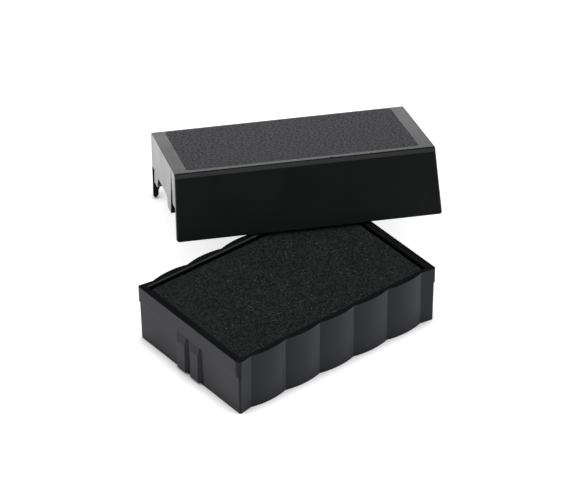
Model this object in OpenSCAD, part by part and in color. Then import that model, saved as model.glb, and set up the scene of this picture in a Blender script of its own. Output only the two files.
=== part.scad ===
// Ink pad cartridge for a self-inking stamp, with its protective cap.
// Frame: origin at the middle of the tray's flat base, +X along the tray, +Z up.
// The tray stands level on the table and the cap leans on its back right corner.
// All sizes are in millimetres and all angles in degrees.

/* [Tray] */
// Length of the tray over its two flat ends
tray_len = 58; // [54:0.5:62]
// Width of the tray over its corners
tray_wid = 38.2; // [35:0.2:40]
// Height of the tray
tray_h = 14.8; // [13.5:0.1:17]
// Thickness of the long walls at the rim
side_wall = 1.85; // [1.6:0.05:2.2]
// Thickness of the end walls at the rim
end_wall = 1.75; // [1.5:0.05:2.2]
// Thickness of the floor
floor_t = 1.6; // [1.2:0.1:2.4]
// Draft of the outer walls, which narrow towards the base
draft = 0.9; // [0:0.1:1.2]

/* [Tray Grips] */
// Number of convex finger scallops on each long side
scallop_count = 5; // [3:1:5]
// Spacing of the scallops
scallop_pitch = 10; // [8:0.5:10]
// Height of a scallop above the valleys between them
scallop_rise = 0.7; // [0.4:0.05:0.9]
// How far the valleys lie inside the corners, where the end flats slope out to
valley_inset = 0.7; // [0.4:0.05:0.8]

/* [Tray Ends] */
// Depth of the slightly proud band below the rim, at the two ends
band_h = 4.2; // [3:0.1:5]
// How far the band stands proud of the end walls
band_proud = 0.25; // [0.1:0.05:0.4]
// Radius of the tray's upright corners
corner_r = 0.5; // [0.3:0.1:0.8]
// Spacing of the two guide ribs on each end
rib_pitch = 4.9; // [4.5:0.1:6]
// Width of the flat face of a guide rib
rib_face = 2.9; // [2:0.1:3.2]
// How far a guide rib stands out; its top slopes back to the band's face
rib_proud = 0.6; // [0.4:0.05:0.8]
// Width of the relief on the keyed front left corner
key_wid = 1.7; // [1:0.1:2]
// Depth of the relief below the rim, with the taper that ends it
key_h = 6.1; // [4.5:0.1:6.5]

/* [Pad] */
// How far the printing cloth lies below the rim
pad_recess = 0.6; // [0.5:0.1:1.5]
// Gap between the pad and the walls
pad_gap = 0.35; // [0.3:0.05:0.6]
// Thickness of the printing cloth
cloth_t = 0.6; // [0.4:0.1:1]
// How far the cloth is tucked down round the foam
cloth_tuck = 3.2; // [2:0.1:4]
// Thickness of the ink-bearing foam
foam_t = 5; // [4:0.1:6]

/* [Cap] */
// Length of the cap at its top
cap_len = 61.9; // [61.9:0.1:66]
// Width of the cap over its two skirts
cap_wid = 43.2; // [43.2:0.1:46]
// Depth of the cap's skirts
cap_h = 16.2; // [16.2:0.1:18]
// Thickness of the cap's top plate
cap_top = 1.3; // [1:0.1:1.4]
// Thickness of the cap's walls
cap_wall = 1.1; // [1:0.05:1.2]
// Radius of the two long shoulders
shoulder_r = 1.25; // [1:0.05:1.25]
// Radius of the cap's upright edges, where its ends meet the skirts
edge_r = 0.5; // [0.3:0.1:0.8]
// Slope of the cap's ends, which spread towards the mouth
cap_flare = 2.4; // [1.5:0.1:3]

/* [Cap Ends] */
// Depth of the short end walls
end_h = 8.2; // [7:0.1:9]
// Depth of the two clip legs on each end
leg_h = 10.8; // [10:0.1:12]
// Half the width of the sprung end flap
flap_half = 14.9; // [13:0.1:16]
// Half the width of the arch between the clip legs
arch_half = 8.7; // [7:0.1:10]
// Extra slope of the flap, which stands out from the corners
flap_flare = 1.6; // [1:0.1:3]
// Width of the slits that free the flap's sides
slit_wid = 0.45; // [0.3:0.05:0.6]
// Depth below the top where the slits begin
slit_top = 2.2; // [2:0.1:4]
// Height of the cut-out in the back skirt
back_cut_h = 3; // [2:0.1:4]
// Width of the posts left at the ends of the back skirt
post_wid = 1.4; // [1.2:0.1:3]

/* [Cap Pose] */
// Turn of the cap from the tray's long direction
cap_turn = -28.5; // [-30:0.5:-27]
// Distance of the middle of the cap's top from the tray's middle, along X
cap_x = 28.1; // [27.5:0.1:29]
// Distance of the middle of the cap's top from the tray's middle, along Y
cap_y = 33.9; // [33.5:0.1:34.5]

/* [Hidden] */
$fn = 64;

rest_gap = 0.08;
far = 200;
cavity_len = tray_len - 2 * end_wall;
cavity_wid = tray_wid - 2 * side_wall;
rim_chamfer = 0.3;
valley_y = tray_wid / 2 - valley_inset;
scallop_r = (pow(scallop_pitch / 2, 2) + pow(scallop_rise, 2)) / (2 * scallop_rise);
scallop_span = scallop_count * scallop_pitch;
rib_sink = 1;
rib_side = 0.8;
rib_foot = 0.5;
rib_lead = 2.5;
foot_border = 2.6;
foot_recess = 0.5;
foot_bar = 7;
foot_len = tray_len / 2 - foot_border - foot_bar / 2;
pad_top = tray_h - pad_recess;
pad_len = cavity_len - 2 * pad_gap;
pad_wid = cavity_wid - 2 * pad_gap;
layer_gap = 0.05;
foam_inset = cloth_t + layer_gap;
foam_top = pad_top - cloth_t - layer_gap;
felt_top = foam_top - foam_t - layer_gap;
cap_tilt = -asin(tray_h / (cap_wid - cap_wall));
cap_z = cap_h * cos(cap_tilt) + cap_wid / 2 * sin(-cap_tilt) + rest_gap;
arch_r = 1.6;
foot_r = 1.4;
key_taper = 1.7;
felt_inset = 0.2;
inner_r = 0.4;
back_foot_r = 1.1;
skirt_r = 0.7;
cut_lap = 0.02;
flat_slope = valley_inset / ((tray_len - scallop_span) / 2);
gate_x = 6.4;
gate_wid = 1;
gate_depth = 0.12;
gate_lean = 28;
mouth_len = cap_len + 2 * cap_h * tan(cap_flare);

// A box centred in X and Y that stands on z = 0.
module slab(x, y, z) {
    translate([-x / 2, -y / 2, 0]) cube([x, y, z]);
}

// The outline of one long side seen from above: sloping end flats, valleys and scallops.
module grip_outline() {
    translate([-tray_len, -valley_y]) square([2 * tray_len, far]);
    past = tray_len / 2 - scallop_span / 2;
    for (sx = [-1, 1])
        polygon([[sx * scallop_span / 2, 0], [sx * scallop_span / 2, -valley_y],
            [sx * (scallop_span / 2 + 2 * past), -valley_y - 2 * valley_inset],
            [sx * (scallop_span / 2 + 2 * past), 0]]);
    for (i = [0 : scallop_count - 1])
        translate([(i - (scallop_count - 1) / 2) * scallop_pitch, -valley_y])
            intersection() {
                translate([0, scallop_r - scallop_rise]) circle(scallop_r, $fn = 180);
                translate([-scallop_pitch / 2, -scallop_rise]) square([scallop_pitch, scallop_rise]);
            }
}

// Everything behind one long side of the tray, which leans by the draft.
module grip_side() {
    translate([0, -tray_wid / 2, tray_h]) rotate([draft, 0, 0])
        translate([0, tray_wid / 2, -2 * tray_h]) linear_extrude(3 * tray_h) grip_outline();
}

// The tray's profile from the side: drafted ends with a band below the rim.
module end_profile() {
    half = tray_len / 2;
    low = half - band_proud;
    slip = (tray_h - band_h) * tan(draft);
    edge_z = tray_h - band_h;
    right = [[low - slip, 0], [low, edge_z - band_proud], [half, edge_z], [half, tray_h]];
    left = [for (i = [3 : -1 : 0]) [-right[i][0], right[i][1]]];
    polygon(concat(right, left));
}

// What is cut away to relieve the front left corner, which keys the cartridge in its stamp.
module key_relief() {
    inset = key_wid - cut_lap;
    translate([inset - tray_len / 2, inset - tray_wid / 2, tray_h - key_h]) difference() {
        translate([-far, -far, 0]) cube(far);
        translate([0, 0, key_taper]) cylinder(r = key_wid, h = far);
        translate([0, 0, -1]) cylinder(r1 = key_wid + (1 + key_taper) * (sqrt(2) - 1) * key_wid / key_taper,
            r2 = key_wid, h = 1 + key_taper + cut_lap);
    }
}

// What lies outside an upright corner of radius r. Its two faces would meet at x and y at
// height zero, and they lean by slip_x and slip_y for each unit of height.
module corner_cut(r, x, y, slip_x, slip_y, bottom, top) {
    multmatrix([[1, 0, slip_x, x - r], [0, 1, slip_y, y - r], [0, 0, 1, 0], [0, 0, 0, 1]])
        translate([0, 0, bottom]) linear_extrude(top - bottom) difference() {
            square(r + 1);
            circle(r);
        }
}

// The rounding of the tray's back right corner, along the band and below it.
module corner_round() {
    edge_z = tray_h - band_h;
    slip = tan(draft);
    low = tray_len / 2 - band_proud;
    tangent = corner_r * (flat_slope + sqrt(1 + flat_slope * flat_slope) - 1);
    side_y = tray_wid / 2 - tangent - slip * tray_h;
    corner_cut(corner_r, tray_len / 2, side_y, 0, slip, edge_z, tray_h + 1);
    corner_cut(corner_r, low - slip * edge_z, side_y - flat_slope * band_proud, slip, slip,
        -1, edge_z + cut_lap);
}

// The two guide ribs on the right end, with a gentle lead-in at their tops.
module guide_ribs() {
    reach = rib_sink + rib_proud;
    edge_z = tray_h - band_h;
    lean = atan((rib_proud - band_proud) / rib_lead);
    root = rib_face / 2 + rib_side;
    for (sy = [-1, 1])
        intersection() {
            translate([tray_len / 2 - band_proud - rib_sink, sy * rib_pitch / 2, rib_foot])
                linear_extrude(edge_z - rib_foot)
                    polygon([[0, -root], [rib_sink, -root], [reach, -rib_face / 2],
                        [reach, rib_face / 2], [rib_sink, root], [0, root]]);
            translate([tray_len / 2, sy * rib_pitch / 2, edge_z])
                rotate([0, -lean, 0]) translate([-far, -far / 2, -far / 2]) cube(far);
        }
}

// The cavity's outline across one direction, with a chamfer at its mouth.
module cavity_profile(span) {
    mouth = span / 2 + rim_chamfer;
    translate([-span / 2, floor_t]) square([span, tray_h]);
    polygon([[-span / 2, tray_h - rim_chamfer], [span / 2, tray_h - rim_chamfer],
        [mouth + 1, tray_h + 1], [-mouth - 1, tray_h + 1]]);
}

// The straight-walled cavity that holds the pad.
module cavity() {
    intersection() {
        rotate([90, 0, 0]) linear_extrude(far, center = true) cavity_profile(cavity_len);
        rotate([90, 0, 90]) linear_extrude(far, center = true) cavity_profile(cavity_wid);
    }
}

// The moulded tray: one open box with grips, guide ribs and a keyed corner.
// Two shallow pockets under the base leave a border and a middle bar to stand on.
module tray() {
    color("#3a3a3d") difference() {
        union() {
            intersection() {
                rotate([90, 0, 0]) linear_extrude(far, center = true) end_profile();
                grip_side();
                mirror([0, 1, 0]) grip_side();
            }
            for (s = [0, 1]) mirror([s, 0, 0]) guide_ribs();
        }
        for (sx = [0, 1]) mirror([sx, 0, 0])
            for (sy = [0, 1]) mirror([0, sy, 0]) corner_round();
        key_relief();
        cavity();
        for (s = [-1, 1]) translate([s * (foot_len + foot_bar) / 2, 0, -1])
            slab(foot_len, tray_wid - 2 * foot_border, 1 + foot_recess);
    }
}

// The lower ink store, a block of felt on the tray's floor.
module reservoir_felt() {
    color("#26262b") translate([0, 0, floor_t + layer_gap])
        slab(pad_len - 2 * felt_inset, pad_wid - 2 * felt_inset, felt_top - floor_t - layer_gap);
}

// The open-cell foam that feeds ink up to the cloth.
module pad_foam() {
    color("#2b2b30") translate([0, 0, foam_top - foam_t])
        slab(pad_len - 2 * foam_inset, pad_wid - 2 * foam_inset, foam_t);
}

// The fine printing cloth, drawn over the foam and tucked down its sides.
module pad_cloth() {
    color("#303234") translate([0, 0, pad_top - cloth_tuck]) difference() {
        slab(pad_len, pad_wid, cloth_tuck);
        translate([0, 0, -1])
            slab(pad_len - 2 * cloth_t, pad_wid - 2 * cloth_t, cloth_tuck - cloth_t + 1);
    }
}

// The cap's cross-section: flat top, two round shoulders and two skirts.
module cap_section(wid, r) {
    flat = wid - 2 * r;
    translate([-flat / 2, -cap_h]) square([flat, cap_h]);
    translate([-wid / 2, -cap_h]) square([wid, cap_h - r]);
    for (s = [-1, 1]) translate([s * flat / 2, -r]) circle(r);
}

// A body of the cap's section whose two ends spread towards the mouth.
module cap_block(len, wid, r, top) {
    spread = 2 * cap_h * tan(cap_flare);
    intersection() {
        rotate([90, 0, 90]) translate([0, -top, 0])
            linear_extrude(far, center = true) cap_section(wid, r);
        rotate([90, 0, 0]) linear_extrude(far, center = true)
            polygon([[-len / 2, 0], [len / 2, 0],
                [len / 2 + spread, -2 * cap_h], [-len / 2 - spread, -2 * cap_h]]);
    }
}

// A cut-out seen from the front, open downwards, with round top corners and a round mouth.
module notch(half, bottom, top, r_top, r_foot) {
    translate([-half, bottom - 1]) square([2 * half, top - bottom + 1 - r_top]);
    translate([-half + r_top, bottom]) square([2 * (half - r_top), top - bottom]);
    for (s = [-1, 1]) {
        translate([s * (half - r_top), top - r_top]) circle(r_top);
        difference() {
            translate([s * half - r_foot, bottom - 1]) square([2 * r_foot, r_foot + 1]);
            translate([s * (half + r_foot), bottom + r_foot]) circle(r_foot);
        }
    }
}

// What is cut away to round the lower right corners of the two skirts.
module skirt_corners() {
    translate([mouth_len / 2 - skirt_r, 0, skirt_r - cap_h]) rotate([90, 0, 0])
        linear_extrude(far, center = true) difference() {
            translate([0, -skirt_r - 1]) square(skirt_r + 1);
            circle(skirt_r);
        }
}

// The slit beside the back half of the right end's flap.
module flap_slit() {
    translate([cap_len / 2 - 2 * cap_wall, flap_half, -cap_h])
        cube([far, slit_wid, cap_h - slit_top]);
}

// The mark left by the mould's gate on the front edge of the cap's flat top.
module gate_mark() {
    translate([gate_x, shoulder_r - cap_wid / 2, 0]) rotate([gate_lean, 0, 0])
        translate([0, 0, -gate_depth]) cylinder(d = gate_wid, h = far);
}

// The sprung flap of the right end: a leaning plate with an arch between two clip legs.
module end_flap() {
    lean = leg_h * tan(cap_flare + flap_flare);
    intersection() {
        rotate([90, 0, 0]) linear_extrude(2 * flap_half, center = true)
            polygon([[cap_len / 2 - cap_wall, 0], [cap_len / 2, 0],
                [cap_len / 2 + lean, -leg_h], [cap_len / 2 + lean - cap_wall, -leg_h]]);
        rotate([90, 0, 90]) linear_extrude(far) difference() {
            translate([-flap_half, -leg_h]) square([2 * flap_half, leg_h]);
            notch(arch_half, -leg_h, -end_h, arch_r, foot_r);
        }
    }
}

// The cap as moulded, with the middle of its flat top at the origin.
module cap_shell() {
    skirt_in = cap_wid / 2 - cap_wall;
    difference() {
        cap_block(cap_len, cap_wid, shoulder_r, 0);
        cap_block(cap_len - 2 * cap_wall, 2 * skirt_in, inner_r, cap_top);
        translate([0, 0, -cap_h - 1]) slab(far, 2 * skirt_in, cap_h + 1 - end_h);
        translate([0, far + skirt_in - cap_wall / 2, 0]) rotate([90, 0, 0]) linear_extrude(far)
            notch(mouth_len / 2 - post_wid, -cap_h, back_cut_h - cap_h, arch_r, back_foot_r);
        gate_mark();
        for (sx = [0, 1]) mirror([sx, 0, 0]) {
            skirt_corners();
            for (sy = [0, 1]) mirror([0, sy, 0]) {
                flap_slit();
                corner_cut(edge_r, cap_len / 2, cap_wid / 2, -tan(cap_flare), 0, -cap_h - 1, 1);
            }
        }
    }
    for (sx = [0, 1]) mirror([sx, 0, 0]) end_flap();
}

// The cap where it rests: its back edge on the table and its front edge on the tray's rim.
module cap() {
    color("#1b1c1d") translate([cap_x, cap_y, cap_z]) rotate([cap_tilt, 0, cap_turn]) cap_shell();
}

tray();
reservoir_felt();
pad_foam();
pad_cloth();
cap();
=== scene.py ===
import math

import bmesh
import bpy
import numpy as np
from mathutils import Matrix, Vector, noise


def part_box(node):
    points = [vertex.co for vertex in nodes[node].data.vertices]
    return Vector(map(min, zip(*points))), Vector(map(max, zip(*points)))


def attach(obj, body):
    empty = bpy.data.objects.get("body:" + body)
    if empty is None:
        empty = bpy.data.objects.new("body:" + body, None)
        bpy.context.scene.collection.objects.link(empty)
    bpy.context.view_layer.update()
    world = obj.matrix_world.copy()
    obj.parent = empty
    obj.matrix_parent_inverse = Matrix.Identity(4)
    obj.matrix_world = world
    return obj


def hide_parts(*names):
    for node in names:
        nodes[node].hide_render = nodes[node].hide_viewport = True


# The looks of an ink pad cartridge and its cap. Sizes on the object are in millimetres, times MM,
# and those of the studio round it are in metres. Angles are in degrees.
MM = 0.001
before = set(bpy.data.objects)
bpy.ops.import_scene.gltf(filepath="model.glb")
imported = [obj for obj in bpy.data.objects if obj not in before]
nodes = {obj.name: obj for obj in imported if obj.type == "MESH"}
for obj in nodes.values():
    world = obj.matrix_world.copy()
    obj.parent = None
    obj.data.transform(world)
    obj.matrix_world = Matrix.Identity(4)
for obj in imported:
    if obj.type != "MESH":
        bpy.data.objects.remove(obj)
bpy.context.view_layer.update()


# ---------------------------------------------------------------- camera, floor and lights

VIEW_AZIMUTH = -38.1  # round the object, seen from the front and a little from the left
VIEW_ELEVATION = 36.24
VIEW_ROLL = -0.57
VIEW_DISTANCE = 1048.6 * MM
VIEW_OFFSET = Vector((7.03, 7.8)) * MM  # where the view's middle crosses the rim's height
LENS = 279.3
SENSOR = 36
CLIP_NEAR, CLIP_FAR = 0.05, 20

BOX_HEIGHT = 2.0  # the softbox over the table, and how far it reaches behind and in front
BOX_WIDTH = 5.0
BOX_BACK = 1.35
BOX_FRONT = 3.0
BOX_RADIANCE = 1.05
SIDE_AZIMUTH = 40  # the small softbox that lights the edges turned to it
SIDE_ELEVATION = 39
SIDE_DISTANCE = 1.1
SIDE_SIZE = 0.25
SIDE_RADIANCE = 7.0
WORLD_STRENGTH = 0.1

FLOOR_HALF = 3.0  # half the width of the floor, which lies a hair below the object's base
FLOOR_DROP = 0.02 * MM
FLOOR_NEAR, FLOOR_FAR = 0.13, 0.42  # from the near to the far distance the floor's painted glow and its paint grow dimmer, a painted falloff of light
FLOOR_PAINTED_GLOW = 0.74  # painted glow that keeps the floor white in place of light falling on it, near and far
FLOOR_PAINTED_GLOW_FAR = 0.18
# the floor's paint near by, and far off darkened by painted shade as the light falls off
FLOOR_PAINT, FLOOR_PAINT_FAR_SHADE = 0.8, 0.45
FLOOR_ROUGHNESS = 0.8
FLOOR_SPECULAR = 0.1
GRAIN_SIZE, GRAIN_DARK = 0.3, 0.97  # broad faint unevenness of the floor's paint
CONTACT_SHADOW_REACH = 4 * MM  # how far the painted contact shadow under a touching edge spreads
CONTACT_SHADOW_RANGE = (0.35, 0.95)  # the share of open sky where that painted shadow is darkest and where it ends
# how much of the floor's glow is left where the painted contact shadow is darkest
CONTACT_PAINTED_SHADE = 0.1


def direction(azimuth, elevation):
    """The way out from the object to something at that azimuth and elevation, in degrees."""
    a, e = math.radians(azimuth), math.radians(elevation)
    return Vector((math.sin(a) * math.cos(e), -math.cos(a) * math.cos(e), math.sin(e)))


def add_camera():
    """The camera, aimed at a point level with the tray's rim."""
    camera = bpy.data.objects.new("camera", bpy.data.cameras.new("camera"))
    bpy.context.scene.collection.objects.link(camera)
    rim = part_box("tray")[1].z
    back = direction(VIEW_AZIMUTH, VIEW_ELEVATION)
    camera.location = Vector((*VIEW_OFFSET, rim)) + back * VIEW_DISTANCE
    roll = Matrix.Rotation(math.radians(VIEW_ROLL), 3, "Z")
    camera.rotation_euler = ((-back).to_track_quat("-Z", "Y").to_matrix() @ roll).to_euler()
    camera.data.lens, camera.data.sensor_width = LENS, SENSOR
    camera.data.clip_start, camera.data.clip_end = CLIP_NEAR, CLIP_FAR
    bpy.context.scene.camera = camera


def add_light(name, place, turn, size, radiance):
    """An area light of that width and depth, with the same radiance whatever its size."""
    light = bpy.data.lights.new(name, "AREA")
    light.shape, light.size, light.size_y = "RECTANGLE", *size
    light.energy = radiance * math.pi * light.size * light.size_y
    lamp = bpy.data.objects.new(name, light)
    bpy.context.scene.collection.objects.link(lamp)
    lamp.location, lamp.rotation_euler = place, turn


def add_lights():
    """A big overhead softbox, from behind the object to over the camera, and a small one at the side."""
    ahead = -direction(VIEW_AZIMUTH, 0)
    middle = ahead * (BOX_BACK - BOX_FRONT) / 2 + Vector((0, 0, BOX_HEIGHT))
    level = (0, 0, math.radians(VIEW_AZIMUTH))
    add_light("overhead", middle, level, (BOX_WIDTH, BOX_FRONT + BOX_BACK), BOX_RADIANCE)
    out = direction(SIDE_AZIMUTH, SIDE_ELEVATION)
    facing = out.to_track_quat("Z", "Y").to_euler()
    add_light("side", out * SIDE_DISTANCE, facing, (SIDE_SIZE, SIDE_SIZE), SIDE_RADIANCE)


def add_world():
    """A faint even white from all round."""
    world = bpy.data.worlds.new("studio")
    bpy.context.scene.world = world
    world.use_nodes = True
    background = world.node_tree.nodes["Background"]
    background.inputs["Color"].default_value = (1, 1, 1, 1)
    background.inputs["Strength"].default_value = WORLD_STRENGTH


# ---------------------------------------------------------------- material helpers


def new_material(name):
    """A material with its node tree and its shader."""
    material = bpy.data.materials.new(name)
    material.use_nodes = True
    return material, material.node_tree, material.node_tree.nodes["Principled BSDF"]


def node(tree, kind, inputs=(), **settings):
    """A shader node with its settings, and its inputs given as values or as sockets to link."""
    made = tree.nodes.new("ShaderNode" + kind)
    for key, value in settings.items():
        setattr(made, key, value)
    for key, value in dict(inputs).items():
        if isinstance(value, bpy.types.NodeSocket):
            tree.links.new(value, made.inputs[key])
        else:
            made.inputs[key].default_value = value
    return made


def link(tree, source, shader, socket):
    """Feeds an output into the shader's input of that name."""
    tree.links.new(source, shader.inputs[socket])


def grey(level, blue=0.0):
    """A near-black colour of that brightness, made bluer by the share blue."""
    return (level, level * (1 + blue / 3), level * (1 + blue), 1)


def object_point(tree):
    """The shaded point in the object's own coordinates, in metres."""
    return node(tree, "TexCoord").outputs["Object"]


def speckle(tree, point, size, detail=2.0, roughness=0.5):
    """Noise whose spots are about size metres across."""
    return node(tree, "TexNoise", {"Vector": point, "Scale": 1 / size, "Detail": detail,
                                   "Roughness": roughness}).outputs["Fac"]


def spread(tree, value, low, high, to_low, to_high):
    """Maps a value from one range to another and keeps it within the second."""
    return node(tree, "MapRange", {"Value": value, "From Min": low, "From Max": high,
                                   "To Min": to_low, "To Max": to_high}).outputs["Result"]


def tint(tree, value, dark, light):
    """A colour between dark and light."""
    return node(tree, "Mix", {0: value, 6: dark, 7: light}, data_type="RGBA").outputs[2]


def maths(tree, operation, a, b=0.0):
    """The result of that operation on a, or on a and b."""
    return node(tree, "Math", {0: a, 1: b}, operation=operation).outputs["Value"]


def bump(tree, shader, height, depth):
    """Relief of that depth in metres where height runs from 0 to 1."""
    made = node(tree, "Bump", {"Height": height, "Distance": depth})
    link(tree, made.outputs["Normal"], shader, "Normal")


# ---------------------------------------------------------------- materials

BROAD = (0.3, 0.7)  # the part of a noise's range that broad patches use
NARROW = (0.35, 0.65)

TRAY_DARK, TRAY_LIGHT = (0.0022, 0.12), (0.0036, 0.15)  # brightness and blueness
TRAY_ROUGHNESS = (0.33, 0.4)
TRAY_SPECULAR = 0.21
TRAY_TINT = (0.84, 0.87, 1.0, 1)
TRAY_SKIN, TRAY_SKIN_DEPTH = 0.35 * MM, 0.01 * MM
TRAY_CLOUDS = 9 * MM

PANEL_END = 3.2 * MM  # plain borders of the cap's textured panel
PANEL_FRONT = 2.2 * MM
PANEL_BACK = 0.6 * MM
PANEL_CORNER = 1.6 * MM
PANEL_SOFT = 0.1 * MM  # half the width of the panel's soft outline
TOP_SLACK = 0.01 * MM  # how far a vertex of the cap's flat top may lie below it
SEARCH_STEP = 0.05  # angle between the turns tried for the cap's flat top
CAP_DARK, CAP_LIGHT = (0.0062, 0.0076, 0.0076, 1), (0.0082, 0.0098, 0.0098, 1)
CAP_ROUGHNESS = (0.19, 0.25)
CAP_SPECULAR = 0.28
CAP_CLOUDS = 12 * MM
# the textured panel's own mottled tone, with painted shade in its pits and painted highlight on its
# grains, following its bump
SPARK_PIT_SHADE, SPARK_GRAIN_HIGHLIGHT = (0.001, 0.0008, 0.0014, 1), (0.060, 0.054, 0.072, 1)
SPARK_RANGE = (0.41, 0.59)  # the noise between the panel's pits, painted dark as shade, and its grains, painted light as highlight
SPARK_ROUGHNESS = (0.62, 0.45)
SPARK_SIZE, SPARK_DEPTH = 0.6 * MM, 0.5 * MM

CLOTH_DARK, CLOTH_LIGHT = (0.003, 0.004, 0.004, 1), (0.028, 0.030, 0.030, 1)
CLOTH_ROUGHNESS = (0.6, 0.85)
CLOTH_SPECULAR = 0.12
CLOTH_RELIEF = 0.05 * MM
CLOTH_RANGE = (0.4, 0.6)  # the noise between the cloth's dark and light grains
THREAD = 0.42 * MM
WAVE_RATE = 20  # radians per metre of a wave texture whose scale is 1
FIBRE = 0.4 * MM
DAMP = 6 * MM  # size of the damper and drier patches
FIBRE_SHARE, DAMP_SHARE = 0.88, 0.12
FLECK = (0.11, 0.11, 0.12, 1)
FLECK_CELL = 0.9 * MM  # one light fleck at most in each cell, and its radius as a share of the cell
FLECK_RADIUS = 0.14
FLECK_PATCH, FLECK_LEVEL = 8 * MM, 0.47  # flecks show only in patches where the noise is above the level

FILL_CLOUDS = 6 * MM
FILL_ROUGHNESS = (0.6, 0.9)
FILL_RELIEF = 0.15 * MM


def tray_plastic():
    """Satin black plastic with a fine moulded skin."""
    material, tree, shader = new_material("tray_satin_plastic")
    point = object_point(tree)
    skin = speckle(tree, point, TRAY_SKIN, 3)
    clouds = speckle(tree, point, TRAY_CLOUDS, 3)
    link(tree, tint(tree, clouds, grey(*TRAY_DARK), grey(*TRAY_LIGHT)), shader, "Base Color")
    link(tree, spread(tree, clouds, *BROAD, *TRAY_ROUGHNESS), shader, "Roughness")
    shader.inputs["Specular IOR Level"].default_value = TRAY_SPECULAR
    shader.inputs["Specular Tint"].default_value = TRAY_TINT
    bump(tree, shader, skin, TRAY_SKIN_DEPTH)
    return material


def cap_frame():
    """The cap's own axes as a matrix, X along it and Z out of its flat top, and the flat top's size."""
    mesh = nodes["cap"].data
    up = max((f for f in mesh.polygons if f.normal.z > 0.5), key=lambda f: f.area).normal.copy()
    level = max(up.dot(v.co) for v in mesh.vertices)
    top = np.array([v.co for v in mesh.vertices if up.dot(v.co) > level - TOP_SLACK])
    side = up.orthogonal().normalized()

    def axes(angle):
        along = Matrix.Rotation(angle, 3, up) @ side
        return Matrix((along, up.cross(along), up)).transposed()

    def extent(angle):
        return np.ptp(top @ np.array(axes(angle)), axis=0)

    # the turn with the smallest rectangle round the flat top, long side along X, pointing to +X
    turn = min(np.radians(np.arange(0, 180, SEARCH_STEP)), key=lambda angle: extent(angle)[:2].prod())
    if extent(turn)[0] <= extent(turn)[1]:
        turn += math.pi / 2
    if axes(turn)[0][0] <= 0:
        turn += math.pi
    local = top @ np.array(axes(turn))
    middle = axes(turn) @ Vector((local.max(0) + local.min(0)) / 2)
    return Matrix.Translation(middle) @ axes(turn).to_4x4(), Vector(extent(turn))


def panel_mask(tree, own, flat_size):
    """1 within the cap's textured panel, a rectangle with round corners, and 0 outside it."""
    axis = node(tree, "SeparateXYZ", {"Vector": own}).outputs
    half_x = flat_size.x / 2 - PANEL_END
    half_y = (flat_size.y - PANEL_FRONT - PANEL_BACK) / 2
    squares = []
    for name, middle, half in (("X", 0, half_x), ("Y", (PANEL_FRONT - PANEL_BACK) / 2, half_y)):
        off = maths(tree, "ABSOLUTE", maths(tree, "SUBTRACT", axis[name], middle))
        past = maths(tree, "MAXIMUM", maths(tree, "SUBTRACT", off, half - PANEL_CORNER), 0)
        squares.append(maths(tree, "POWER", past, 2))
    past = maths(tree, "SQRT", maths(tree, "ADD", *squares))
    inside = spread(tree, past, PANEL_CORNER - PANEL_SOFT, PANEL_CORNER + PANEL_SOFT, 1, 0)
    return maths(tree, "MULTIPLY", inside, maths(tree, "GREATER_THAN", axis["Z"], -PANEL_SOFT))


def cap_plastic():
    """Glossy black plastic, with a spark-textured panel within the flat top's borders."""
    material, tree, shader = new_material("cap_gloss_plastic")
    place, flat_size = cap_frame()
    point = object_point(tree)
    own = node(tree, "Mapping", {"Vector": point, "Location": place.to_translation(),
                                 "Rotation": place.to_euler()}, vector_type="TEXTURE").outputs["Vector"]
    inside = panel_mask(tree, own, flat_size)
    spark = speckle(tree, own, SPARK_SIZE, 2, 0.6)
    clouds = speckle(tree, own, CAP_CLOUDS, 2)
    plain = tint(tree, clouds, CAP_DARK, CAP_LIGHT)
    # the panel's colour: its own tone, with painted shade in the pits and painted highlight on the grains
    panel_tone_and_shade = tint(tree, spread(tree, spark, *SPARK_RANGE, 0, 1), SPARK_PIT_SHADE, SPARK_GRAIN_HIGHLIGHT)
    link(tree, tint(tree, inside, plain, panel_tone_and_shade), shader, "Base Color")
    plain_part = spread(tree, clouds, *BROAD, *CAP_ROUGHNESS)
    rough_part = spread(tree, spark, *NARROW, *SPARK_ROUGHNESS)
    roughness = node(tree, "Mix", {0: inside, 2: plain_part, 3: rough_part}).outputs[0]
    link(tree, roughness, shader, "Roughness")
    shader.inputs["Specular IOR Level"].default_value = CAP_SPECULAR
    bump(tree, shader, maths(tree, "MULTIPLY", inside, spark), SPARK_DEPTH)
    return material


def printing_cloth():
    """Fine woven cloth, damp with black ink."""
    material, tree, shader = new_material("inked_cloth")
    point = object_point(tree)
    wave = {"Vector": point, "Scale": math.tau / (WAVE_RATE * THREAD), "Distortion": 1.2, "Detail": 2.0,
            "Detail Scale": 3.0}
    waves = [node(tree, "TexWave", wave, bands_direction=way).outputs["Fac"] for way in ("X", "Y")]
    weave = maths(tree, "MULTIPLY", *waves)
    damp = speckle(tree, point, DAMP, 3, 0.6)
    fibre = speckle(tree, point, FIBRE, 2, 0.7)
    shares = ((fibre, FIBRE_SHARE), (damp, DAMP_SHARE))
    shade = maths(tree, "ADD", *[maths(tree, "MULTIPLY", part, share) for part, share in shares])
    ground = tint(tree, spread(tree, shade, *CLOTH_RANGE, 0, 1), CLOTH_DARK, CLOTH_LIGHT)
    cells = node(tree, "TexVoronoi", {"Vector": point, "Scale": 1 / FLECK_CELL, "Randomness": 1.0}).outputs
    patches = maths(tree, "GREATER_THAN", speckle(tree, point, FLECK_PATCH, 3, 0.7), FLECK_LEVEL)
    fleck = maths(tree, "MULTIPLY", maths(tree, "LESS_THAN", cells["Distance"], FLECK_RADIUS), patches)
    link(tree, tint(tree, fleck, ground, FLECK), shader, "Base Color")
    link(tree, spread(tree, damp, *NARROW, *CLOTH_ROUGHNESS), shader, "Roughness")
    shader.inputs["Specular IOR Level"].default_value = CLOTH_SPECULAR
    bump(tree, shader, maths(tree, "ADD", weave, fibre), CLOTH_RELIEF)
    return material


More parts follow.
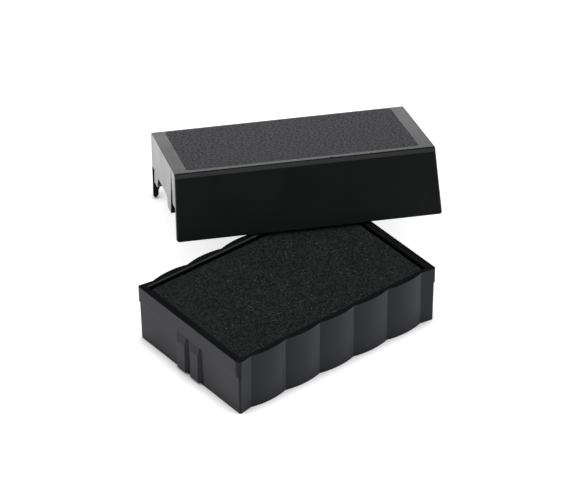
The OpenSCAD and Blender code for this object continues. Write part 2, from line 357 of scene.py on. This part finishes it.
def soft_fill(name, size, dark, light):
    """Felt or foam: open, matt and soaked with ink."""
    material, tree, shader = new_material(name)
    point = object_point(tree)
    pores = node(tree, "TexVoronoi", {"Vector": point, "Scale": 1 / size}).outputs["Distance"]
    clouds = speckle(tree, point, FILL_CLOUDS, 4)
    link(tree, tint(tree, clouds, dark, light), shader, "Base Color")
    link(tree, spread(tree, pores, 0, 0.8, *FILL_ROUGHNESS), shader, "Roughness")
    bump(tree, shader, pores, FILL_RELIEF)
    return material


# ---------------------------------------------------------------- shapes

WELD_GAP = 0.04 * MM  # vertices closer together than this are joined
FLAT_ANGLE = 0.2  # faces that meet at less than this count as one
EDGE_ANGLE = 24  # faces that meet at more than this get a rounded edge
EDGE_WIDTH, EDGE_SEGMENTS = 0.05 * MM, 3
SAME_PLACE = 0.001 * MM  # points this close count as one place

BLOCK_CELL = 0.9 * MM  # felt and foam: grid cell, and size of the bumps in their skin
BLOCK_BUMPS = 1.6 * MM
ROUND_TURNS = (30, 60, 90)  # angles at which a block's rounded edge has a grid line
FELT_RADIUS, FELT_WOBBLE = 0.7 * MM, 0.25 * MM
FELT_PORE = 0.5 * MM
FOAM_RADIUS, FOAM_WOBBLE = 0.6 * MM, 0.15 * MM
FOAM_PORE = 0.35 * MM

SHEET_THICK = 0.45 * MM
SHEET_CELL = 0.6 * MM
SHEET_RADIUS = 0.6 * MM  # radius of the cloth's edge, where it turns down
SHEET_TURN = 15  # angle between the rings of vertices on that edge
SHEET_ROWS = 5  # rows of faces down the cloth's straight sides
SAG, SAG_SIZE = 0.12 * MM, 7 * MM  # how far the cloth's face lies low in places, and how large they are
PULL, PULL_REACH, PULL_SIZE = 0.12 * MM, 3 * MM, 4 * MM  # how far it is drawn down near its edges


def soften(piece):
    """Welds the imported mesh, joins its flat faces and takes the sharpness off its edges."""
    weld = piece.modifiers.new("weld", "WELD")
    weld.merge_threshold = WELD_GAP
    merge = piece.modifiers.new("flat_faces", "DECIMATE")
    merge.decimate_type, merge.angle_limit = "DISSOLVE", math.radians(FLAT_ANGLE)
    edges = piece.modifiers.new("round_edges", "BEVEL")
    edges.width, edges.segments = EDGE_WIDTH, EDGE_SEGMENTS
    edges.limit_method, edges.angle_limit = "ANGLE", math.radians(EDGE_ANGLE)
    edges.use_clamp_overlap = False
    shade = piece.modifiers.new("shading", "WEIGHTED_NORMAL")
    shade.keep_sharp = True


def plain_piece(name, bm, material):
    """A smooth-shaded object made of that mesh and material."""
    mesh = bpy.data.meshes.new(name)
    bm.to_mesh(mesh)
    bm.free()
    for face in mesh.polygons:
        face.use_smooth = True
    mesh.materials.append(material)
    made = bpy.data.objects.new(name, mesh)
    bpy.context.scene.collection.objects.link(made)
    return made


def steps(half, radius):
    """Grid lines from -half to half, closer together within radius of each end."""
    inner = half - radius
    count = max(2, round(2 * inner / BLOCK_CELL))
    middle = [inner * (2 * i / count - 1) for i in range(count + 1)]
    rounds = [inner + radius * math.sin(math.radians(turn)) for turn in ROUND_TURNS]
    return [-x for x in reversed(rounds)] + middle + rounds


def add_quads(bm, rows):
    """Faces between neighbouring rows of vertices."""
    for one, two in zip(rows, rows[1:]):
        for i in range(len(one) - 1):
            bm.faces.new((one[i], two[i], two[i + 1], one[i + 1]))


def soft_block(name, low, high, radius, wobble, material):
    """A block of felt or foam with rounded edges and an uneven skin, inside low and high."""
    middle, half = (low + high) / 2, (high - low) / 2
    bm = bmesh.new()
    for axis in range(3):
        u, v = [i for i in range(3) if i != axis]
        for side in (-1, 1):
            rows = []
            for a in steps(half[u], radius):
                row = []
                for b in steps(half[v], radius):
                    p = Vector((0, 0, 0))
                    p[axis], p[u], p[v] = side * half[axis], a, b
                    row.append(bm.verts.new(p))
                rows.append(row)
            add_quads(bm, rows)
    bmesh.ops.remove_doubles(bm, verts=bm.verts, dist=SAME_PLACE)
    bmesh.ops.recalc_face_normals(bm, faces=bm.faces)
    for vert in bm.verts:
        core = Vector(max(-half[i] + radius, min(half[i] - radius, vert.co[i])) for i in range(3))
        out = (vert.co - core).normalized()
        dent = wobble * (noise.fractal(vert.co / BLOCK_BUMPS, 1.0, 2.0, 3) * 0.5 + 0.5)
        vert.co = middle + core + out * (radius - max(0, min(radius, dent)))
    return plain_piece(name, bm, material)


def add_reservoir():
    """The felt on the tray's floor, which stores the ink."""
    low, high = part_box("reservoir_felt")
    felt = soft_block("felt_reservoir", low, high, FELT_RADIUS, FELT_WOBBLE,
                      soft_fill("soaked_felt", FELT_PORE, grey(0.010, 0.15), grey(0.020, 0.2)))
    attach(felt, "cartridge")
    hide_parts("reservoir_felt")


def add_foam():
    """The foam on the felt, which feeds the ink up to the cloth."""
    low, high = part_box("pad_foam")
    foam = soft_block("foam_block", low, high, FOAM_RADIUS, FOAM_WOBBLE,
                      soft_fill("soaked_foam", FOAM_PORE, grey(0.012, 0.1), grey(0.024, 0.15)))
    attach(foam, "cartridge")
    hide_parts("pad_foam")


def cloth_face(bm, half):
    """The cloth's flat face, a grid of vertices to half each way. Returns the vertices round its rim."""
    across = [round(2 * length / SHEET_CELL) for length in half]
    grid = {}
    for i in range(across[0] + 1):
        for j in range(across[1] + 1):
            x = half[0] * (2 * i / across[0] - 1)
            y = half[1] * (2 * j / across[1] - 1)
            grid[i, j] = bm.verts.new((x, y, 0))
    for i in range(across[0]):
        for j in range(across[1]):
            bm.faces.new((grid[i, j], grid[i + 1, j], grid[i + 1, j + 1], grid[i, j + 1]))
    rim = [grid[i, 0] for i in range(across[0])]
    rim += [grid[across[0], j] for j in range(across[1])]
    rim += [grid[i, across[1]] for i in range(across[0], 0, -1)]
    rim += [grid[0, j] for j in range(across[1], 0, -1)]
    return rim


def cloth_sides(bm, rim, half, drop):
    """Carries the cloth over a rounded edge and straight down to drop below its face."""
    outs = []
    for vert in rim:
        on_x, on_y = [abs(abs(vert.co[i]) - half[i]) < SAME_PLACE for i in range(2)]
        out = Vector((math.copysign(on_x, vert.co.x), math.copysign(on_y, vert.co.y), 0))
        outs.append(out.normalized())
    turns = [math.radians(turn) for turn in range(SHEET_TURN, 90 + 1, SHEET_TURN)]
    path = [(SHEET_RADIUS * math.sin(turn), SHEET_RADIUS * (1 - math.cos(turn))) for turn in turns]
    path += [(SHEET_RADIUS, SHEET_RADIUS + (drop - SHEET_RADIUS) * row / SHEET_ROWS)
             for row in range(1, SHEET_ROWS + 1)]
    last = rim
    for reach, down in path:
        ring = [bm.verts.new(v.co + out * reach + Vector((0, 0, -down))) for v, out in zip(rim, outs)]
        for k in range(len(ring)):
            after = (k + 1) % len(ring)
            bm.faces.new((last[k], ring[k], ring[after], last[after]))
        last = ring


def add_cloth():
    """The printing cloth: a flat top with soft edges, drawn down round the foam."""
    low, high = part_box("pad_cloth")
    middle, half = (low + high) / 2, (high - low) / 2
    drop = high.z - low.z
    bm = bmesh.new()
    face_half = (half.x - SHEET_RADIUS, half.y - SHEET_RADIUS)
    cloth_sides(bm, cloth_face(bm, face_half), face_half, drop)
    for vert in bm.verts:
        p = vert.co
        edge = min(half.x - abs(p.x), half.y - abs(p.y))
        near = max(0, 1 - edge / PULL_REACH)
        sag = SAG * (0.5 - noise.fractal(p / SAG_SIZE, 1.0, 2.0, 3))
        pull = PULL * near * near
        if p.z > -SHEET_RADIUS:
            p.z -= max(0, sag * 0.6 + pull * (0.6 + 0.4 * noise.noise(p / PULL_SIZE)))
        vert.co = Vector((middle.x, middle.y, high.z)) + p
    bmesh.ops.recalc_face_normals(bm, faces=bm.faces)
    cloth = plain_piece("printing_cloth", bm, printing_cloth())
    shell = cloth.modifiers.new("thickness", "SOLIDIFY")
    shell.thickness, shell.offset = SHEET_THICK, -1
    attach(cloth, "cartridge")
    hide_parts("pad_cloth")


def add_floor():
    """A wide pale floor, kept white by painted glow, with a painted falloff that makes it dimmer further
    off and painted contact shadow under touching edges.
    """
    material, tree, shader = new_material("floor_paint_and_painted_light")
    point = object_point(tree)
    away = node(tree, "VectorMath", {0: point}, operation="LENGTH").outputs["Value"]
    # painted glow in place of light on the floor, dimming with distance as a painted falloff
    painted_glow = spread(tree, away, FLOOR_NEAR, FLOOR_FAR, FLOOR_PAINTED_GLOW, FLOOR_PAINTED_GLOW_FAR)
    open_sky = node(tree, "AmbientOcclusion", {"Distance": CONTACT_SHADOW_REACH}, samples=8).outputs["AO"]
    # painted contact shadow: the floor's glow is dimmed where little open sky reaches it
    painted_glow = maths(tree, "MULTIPLY", painted_glow, spread(tree, open_sky, *CONTACT_SHADOW_RANGE, CONTACT_PAINTED_SHADE, 1))
    # the floor's paint, darkened further off by painted shade
    paint_and_falloff = spread(tree, away, FLOOR_NEAR, FLOOR_FAR, FLOOR_PAINT, FLOOR_PAINT_FAR_SHADE)
    grain = spread(tree, speckle(tree, point, GRAIN_SIZE), 0, 1, GRAIN_DARK, 1.0)
    link(tree, maths(tree, "MULTIPLY", paint_and_falloff, grain), shader, "Base Color")
    link(tree, painted_glow, shader, "Emission Strength")
    shader.inputs["Emission Color"].default_value = (1, 1, 1, 1)
    shader.inputs["Roughness"].default_value = FLOOR_ROUGHNESS
    shader.inputs["Specular IOR Level"].default_value = FLOOR_SPECULAR
    bm = bmesh.new()
    bmesh.ops.create_grid(bm, x_segments=8, y_segments=8, size=FLOOR_HALF)
    for vert in bm.verts:
        vert.co.z = -FLOOR_DROP
    plain_piece("floor", bm, material)


add_camera()
add_floor()
add_world()
add_lights()
nodes["tray"].data.materials[0] = tray_plastic()
nodes["cap"].data.materials[0] = cap_plastic()
soften(nodes["tray"])
add_reservoir()
add_foam()
add_cloth()
bpy.context.scene.view_settings.view_transform = "Standard"
